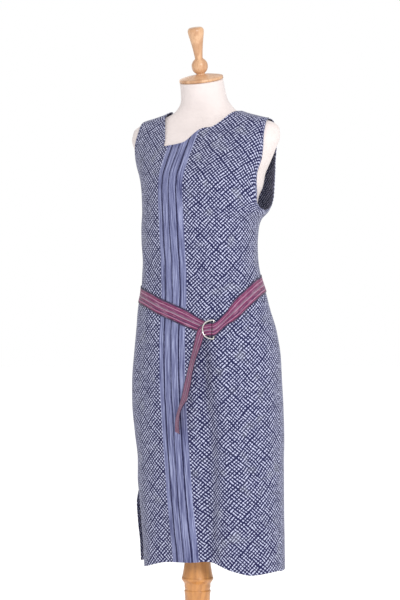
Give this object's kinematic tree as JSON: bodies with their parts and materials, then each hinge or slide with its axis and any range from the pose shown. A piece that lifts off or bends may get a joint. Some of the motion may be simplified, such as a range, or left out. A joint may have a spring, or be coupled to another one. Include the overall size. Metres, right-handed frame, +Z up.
{
  "type": "sheath dress on dress form",
  "caption": "Sleeveless mid-calf sheath dress with an asymmetric neckline, side slit and tied ring-fastened belt, shown on a limbless dress form with a turned wooden stand.",
  "frame": {"origin": "on the floor, at the axis of the stand's post, under the middle of the base", "axes": "+Z up along the post, -Y the way the dress faces, +X towards the wearer's left"},
  "size_m": [0.3926, 0.3243, 1.5598],
  "materials": {
    "batik_cloth": "matt plain-woven cotton, indigo batik print",
    "belt_weave": "woven warp-striped band",
    "ring_steel": "bright nickel",
    "form_cover": "matt cream jersey",
    "turned_wood": "clear satin varnish"
  },
  "bodies": {
    "root": {"dress_front": "batik_cloth", "dress_back": "batik_cloth", "belt_strap": "belt_weave", "d_ring_inner": "ring_steel", "d_ring_outer": "ring_steel", "form_torso": "form_cover", "neck_knob": "turned_wood", "post": "turned_wood", "base": "turned_wood"}
  },
  "joints": []
}
